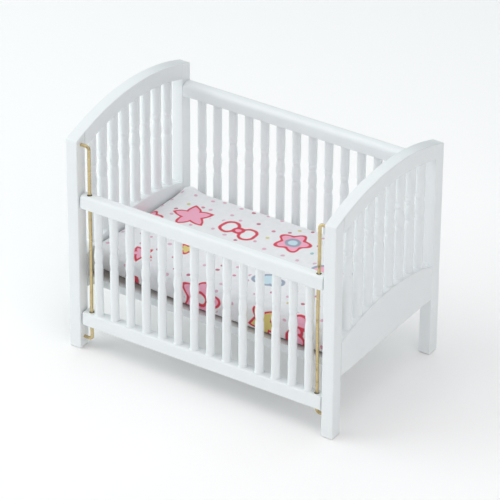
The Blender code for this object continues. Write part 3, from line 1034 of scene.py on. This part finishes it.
def draw_dots(book, cotton, place, tint, nearest):
    """Scatter small dots in several colours between the motifs."""
    cells = book.add("TexVoronoi", {"Vector": place, "Scale": 1 / cotton.dot_pitch,
                                    "Randomness": 0.62}, voronoi_dimensions='2D')
    away = book.sum('MULTIPLY', cells.outputs["Distance"], cotton.dot_pitch)
    radius = cotton.dot / 2
    on_dot = book.ramp(away, radius * (1 - DOT_RIM_SHARE), radius * (1 + DOT_RIM_SHARE), 1, 0)
    clear = book.ramp(nearest, *(cotton.dot * share for share in DOT_ROOM_SHARES))
    pick = book.add("SeparateColor", {"Color": cells.outputs["Color"]})
    palette = book.add("ValToRGB", {"Fac": pick.outputs["Red"]})
    ramp = palette.color_ramp
    ramp.interpolation = 'CONSTANT'
    while len(ramp.elements) < len(PRINT_DOTS):
        ramp.elements.new(1)
    for element, (start, colour) in zip(ramp.elements, PRINT_DOTS):
        element.position = start
        element.color = (*colour, 1)
    return book.blend(book.sum('MULTIPLY', on_dot, clear), tint, palette.outputs["Color"])


@shared_material
def cotton_print(book):
    """Fine white cotton printed with flowers, stars, bows, clouds and dots."""
    cotton = bpy.context.scene.crib.print
    flat = book.add("UVMap", uv_map="print").outputs[0]
    sway = book.add("TexNoise", {"Vector": flat, "Scale": 260, "Detail": 1}).outputs["Color"]
    hand = book.add("VectorMath", {0: sway, 1: (cotton.wobble, cotton.wobble, 0), 2: flat},
                    operation='MULTIPLY_ADD').outputs[0]
    half = (cotton.repeat[0] / 2, cotton.repeat[1] / 2, 1)
    place = book.add("VectorMath", {0: hand, 1: half, 2: [-side for side in half]},
                     operation='WRAP').outputs[0]
    split = book.add("SeparateXYZ", {"Vector": flat})
    turns = math.tau / cotton.weave
    warp = book.sum('SINE', book.sum('MULTIPLY', split.outputs["X"], turns))
    weft = book.sum('SINE', book.sum('MULTIPLY', split.outputs["Y"], turns))
    weave = book.sum('MULTIPLY', warp, weft)
    creases = book.noise(flat, scale=420, detail=2)
    # The cloth is up to 4% darker where the crease noise, which also raises the folds, is high.
    fold_tone = shaded(cotton.ground, 0.96)
    cloth = book.blend(book.ramp(creases, 0.35, 0.7), cotton.ground, fold_tone)
    tint, nearest = draw_motifs(book, cotton, place, cloth)
    tint = draw_dots(book, cotton, hand, tint, nearest)
    # Painted light and shade of the weave: the raised thread crossings are lighter, the gaps
    # between them darker.
    painted_weave_light = book.ramp(weave, -1, 1, 0, 0.05)
    book.link("Base Color", book.blend(painted_weave_light, tint, (1, 1, 1)))
    folds = book.bump(creases, distance=0.00012, strength=0.5)
    book.link("Normal", book.bump(weave, distance=0.00002, strength=0.35, normal=folds))
    book.shader.inputs["Roughness"].default_value = 0.92
    book.shader.inputs["Sheen Weight"].default_value = 0.15


def start_pad(mattress):
    """A block that slopes down to the back, with its edges rounded, remeshed evenly."""
    low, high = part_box("mattress")
    piece = add_block("mattress_cover", low, high - Vector((0, 0, mattress.swell)))

    def at_top(vert):
        return vert.co.z > (low.z + high.z) / 2

    select(piece, 'VERT', lambda vert: at_top(vert) and vert.co.y > 0)
    bpy.ops.transform.translate(value=(0, 0, -mattress.slope))
    leave_edit_mode()
    soften(piece, mattress.front_round, PAD_FRONT_SEGMENTS,
           lambda edge: all(at_top(vert) and vert.co.y < 0 for vert in edge.verts))
    soften(piece, mattress.edge_round, THIN_SEGMENTS, is_sharp)
    piece.data.remesh_voxel_size = mattress.mesh_size
    work_on(piece)
    bpy.ops.object.voxel_remesh()
    for vert in piece.data.vertices:
        shape_pad(vert.co, mattress, low, high)
    return piece


# Share of the pad's width over which the foot of its front is drawn in.
FRONT_SHARE = 0.25


def shape_pad(place, mattress, low, high):
    """Hang the top a little, lift its left end and rear corner, and draw the front's foot in."""
    raised = (place.z - low.z) / (high.z - low.z)
    back = (place.y - low.y) / (high.y - low.y)
    from_end = place.x - low.x
    reach = mattress.corner_reach
    away = math.hypot(from_end - reach, high.y - place.y) / reach
    end_slope = mattress.end_lift * (1 - back) - mattress.end_drop * back
    place.z += raised * (end_slope * math.exp(-from_end / mattress.end_reach)
                         + mattress.corner_lift * math.exp(-away ** 2)
                         - mattress.sag * math.sin(math.pi * back))
    drawn = mattress.foot_inset + mattress.tuck * max(1 - from_end / mattress.tuck_length, 0)
    place.y += drawn * max(1 - raised, 0) * max(1 - back / FRONT_SHARE, 0)


SIMULATION_SCALE = 10
SIMULATION_FRAMES = 20
# Height up to which the pad's underside is held.
HELD_HEIGHT = 0.001


def swell_pad(piece, mattress):
    """Let the padding press the cotton out, ten times its real size, with its underside held."""
    before = [vert.co.copy() for vert in piece.data.vertices]
    floor = min(place.z for place in before)
    held = piece.vertex_groups.new(name="held")
    underside = [index for index, place in enumerate(before) if place.z < floor + HELD_HEIGHT]
    held.add(underside, 1, 'REPLACE')
    piece.data.transform(Matrix.Scale(SIMULATION_SCALE, 4))
    work_on(piece)
    modifier = piece.modifiers.new("Cloth", 'CLOTH')
    cloth = modifier.settings
    cloth.quality = 6
    cloth.mass = 0.25
    cloth.use_pressure = True
    cloth.uniform_pressure_force = mattress.pressure
    cloth.shrink_min = -mattress.slack
    cloth.vertex_group_mass = held.name
    cloth.effector_weights.gravity = 0
    modifier.point_cache.frame_start = 1
    modifier.point_cache.frame_end = SIMULATION_FRAMES
    for frame_number in range(1, SIMULATION_FRAMES + 1):
        bpy.context.scene.frame_set(frame_number)
    bpy.ops.object.modifier_apply(modifier=modifier.name)
    piece.vertex_groups.clear()
    bpy.context.scene.frame_set(1)
    piece.data.transform(Matrix.Scale(1 / SIMULATION_SCALE, 4))
    cap_swelling(piece, before, mattress.swell)


def cap_swelling(piece, before, most):
    """Keep each place within reach of where it began, and inside the frame's mattress."""
    low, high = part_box("mattress")
    for vert, start in zip(piece.data.vertices, before):
        move = vert.co - start
        if move.length > most:
            move *= most / move.length
        place = start + move
        for axis in (0, 1):
            place[axis] = min(max(place[axis], low[axis]), high[axis])
        place.z = max(place.z, low.z)
        vert.co = place


# Width of the pad's rim, where its print starts to run down, and the height of its top there
# as a share of the pad's: at the back, and how much more at the front.
PAD_RIM = 0.003
PAD_TOP_SHARES = (0.7, 0.22)


def unfold_print(piece, low, high):
    """Lay the print over the top and on down the sides, as cloth that is wrapped over a pad."""
    layer = piece.data.uv_layers.new(name="print")
    mesh = piece.data
    at_back, more_at_front = PAD_TOP_SHARES
    for face in mesh.polygons:
        middle = face.center
        past_x = abs(middle.x) > high.x - PAD_RIM
        past_y = middle.y > high.y - PAD_RIM or middle.y < low.y + PAD_RIM
        if past_x and past_y:
            past_x = abs(face.normal.x) > abs(face.normal.y)
        for loop in face.loop_indices:
            place = mesh.vertices[mesh.loops[loop].vertex_index].co
            share = (high.y - place.y) / (high.y - low.y)
            top = low.z + (high.z - low.z) * (at_back + more_at_front * share)
            drop = max(top - place.z, 0)
            u, v = place.x, place.y
            if past_x:
                u += math.copysign(drop, place.x)
            elif past_y:
                v += math.copysign(drop, place.y - (low.y + high.y) / 2)
            layer.data[loop].uv = (u, v)


class CRIB_OT_add_mattress(bpy.types.Operator):
    """Pad the mattress and cover it with printed cotton"""
    bl_idname = "crib.add_mattress"
    bl_label = "Mattress"

    def execute(self, context):
        mattress = context.scene.crib.mattress
        low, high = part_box("mattress")
        piece = start_pad(mattress)
        swell_pad(piece, mattress)
        add_modifier(piece, 'SUBSURF', levels=1, render_levels=1)
        work_on(piece)
        bpy.ops.object.shade_smooth()
        unfold_print(piece, low, high)
        piece.data.materials.append(cotton_print())
        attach(piece, "loose_mattress")
        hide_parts("mattress")
        return {'FINISHED'}


def aim_from(azimuth, elevation):
    """The direction from the crib towards a place around it."""
    return Vector((math.sin(azimuth) * math.cos(elevation),
                   -math.cos(azimuth) * math.cos(elevation), math.sin(elevation)))


def add_camera(stage):
    """The camera, where it stood when the crib was photographed."""
    back = aim_from(stage.azimuth, stage.elevation)
    level = Vector((math.cos(stage.azimuth), math.sin(stage.azimuth), 0))
    upright = back.cross(level)
    right = math.cos(stage.roll) * level + math.sin(stage.roll) * upright
    up = math.cos(stage.roll) * upright - math.sin(stage.roll) * level
    place = back * stage.distance + right * stage.aim[0] + up * stage.aim[1]
    camera = bpy.data.objects.new("camera", bpy.data.cameras.new("camera"))
    bpy.context.collection.objects.link(camera)
    camera.matrix_world = Matrix((
        (right.x, up.x, back.x, place.x),
        (right.y, up.y, back.y, place.y),
        (right.z, up.z, back.z, place.z),
        (0, 0, 0, 1)))
    camera.data.sensor_width = 36
    camera.data.lens = stage.lens
    camera.data.clip_start = 0.05
    camera.data.clip_end = 50
    bpy.context.scene.camera = camera


# Soft boxes: name, turn from the front and height over the horizon in degrees, and tint.
SOFT_BOXES = (
    ("key", -42, 55, (1, 1, 1)),
    ("side", -65, 20, (0.92, 1, 1)),
    ("left", -120, 35, (0.95, 1, 1)),
    ("top", 0, 88, (1, 0.94, 0.95)),
    ("fill", 60, 35, (1, 0.95, 0.96)),
    ("back", 180, 45, (0.91, 1, 1)),
    ("floor_wash", 100, 60, (1, 1, 1)),
)


def add_soft_box(name, azimuth, elevation, tint):
    """A square area light that faces the middle of the crib."""
    stage = bpy.context.scene.crib.stage
    towards = aim_from(math.radians(azimuth), math.radians(elevation))
    deselect()
    bpy.ops.object.light_add(type='AREA', location=towards * stage.box_distance,
                             rotation=towards.to_track_quat('Z', 'Y').to_euler())
    light = bpy.context.object
    light.name = name + "_light"
    light.data.size = stage.box_size
    light.data.color = tint
    light.data.energy = getattr(stage, name)
    return light


FLOOR_PAPER = (0.985, 0.965, 0.96, 1)
SKY_TINT = (0.85, 1, 1.04, 1)


class CRIB_OT_add_stage(bpy.types.Operator):
    """Set up the pale floor, the soft light and the camera"""
    bl_idname = "crib.add_stage"
    bl_label = "Stage"

    def execute(self, context):
        stage = context.scene.crib.stage
        deselect()
        bpy.ops.mesh.primitive_plane_add(size=stage.floor_size)
        floor = settle("floor")
        floor_paper = NodeBook("floor_paper")
        floor_paper.shader.inputs["Base Color"].default_value = FLOOR_PAPER
        floor_paper.shader.inputs["Roughness"].default_value = 0.9
        floor_paper.shader.inputs["Specular IOR Level"].default_value = 0.1
        floor.data.materials.append(floor_paper.material)
        world = bpy.data.worlds.new("studio")
        world.use_nodes = True
        background = world.node_tree.nodes["Background"]
        background.inputs["Color"].default_value = SKY_TINT
        background.inputs["Strength"].default_value = stage.sky
        context.scene.world = world
        lights = {box[0]: add_soft_box(*box) for box in SOFT_BOXES}
        lit_alone = bpy.data.collections.new("lit_alone")
        lit_alone.objects.link(floor)
        lights["floor_wash"].light_linking.receiver_collection = lit_alone
        add_camera(stage)
        context.scene.view_settings.view_transform = 'Standard'
        return {'FINISHED'}


STEPS = (
    CRIB_OT_add_posts,
    CRIB_OT_add_arch_rails,
    CRIB_OT_add_end_boards,
    CRIB_OT_add_back_rails,
    CRIB_OT_add_gate_rails,
    CRIB_OT_add_spindles,
    CRIB_OT_add_guide_wires,
    CRIB_OT_add_bed_board,
    CRIB_OT_add_mattress,
    CRIB_OT_add_stage,
)


class CRIB_PT_pieces(bpy.types.Panel):
    """Buttons for the pieces of the crib"""
    bl_label = "Crib"
    bl_idname = "CRIB_PT_pieces"
    bl_space_type = 'VIEW_3D'
    bl_region_type = 'UI'
    bl_category = "Crib"

    def draw(self, context):
        for step in STEPS:
            self.layout.operator(step.bl_idname)


SETTINGS = (CribWood, CribFinish, CribWires, CribMattress, CribPrint, CribStage, CribSettings)


def register():
    for item in SETTINGS + STEPS + (CRIB_PT_pieces,):
        bpy.utils.register_class(item)
    bpy.types.Scene.crib = PointerProperty(type=CribSettings)


def unregister():
    del bpy.types.Scene.crib
    for item in reversed(SETTINGS + STEPS + (CRIB_PT_pieces,)):
        bpy.utils.unregister_class(item)


def main():
    register()
    bpy.ops.crib.add_posts()
    bpy.ops.crib.add_arch_rails()
    bpy.ops.crib.add_end_boards()
    bpy.ops.crib.add_back_rails()
    bpy.ops.crib.add_gate_rails()
    bpy.ops.crib.add_spindles()
    bpy.ops.crib.add_guide_wires()
    bpy.ops.crib.add_bed_board()
    bpy.ops.crib.add_mattress()
    bpy.ops.crib.add_stage()


if __name__ == "__main__":
    main()
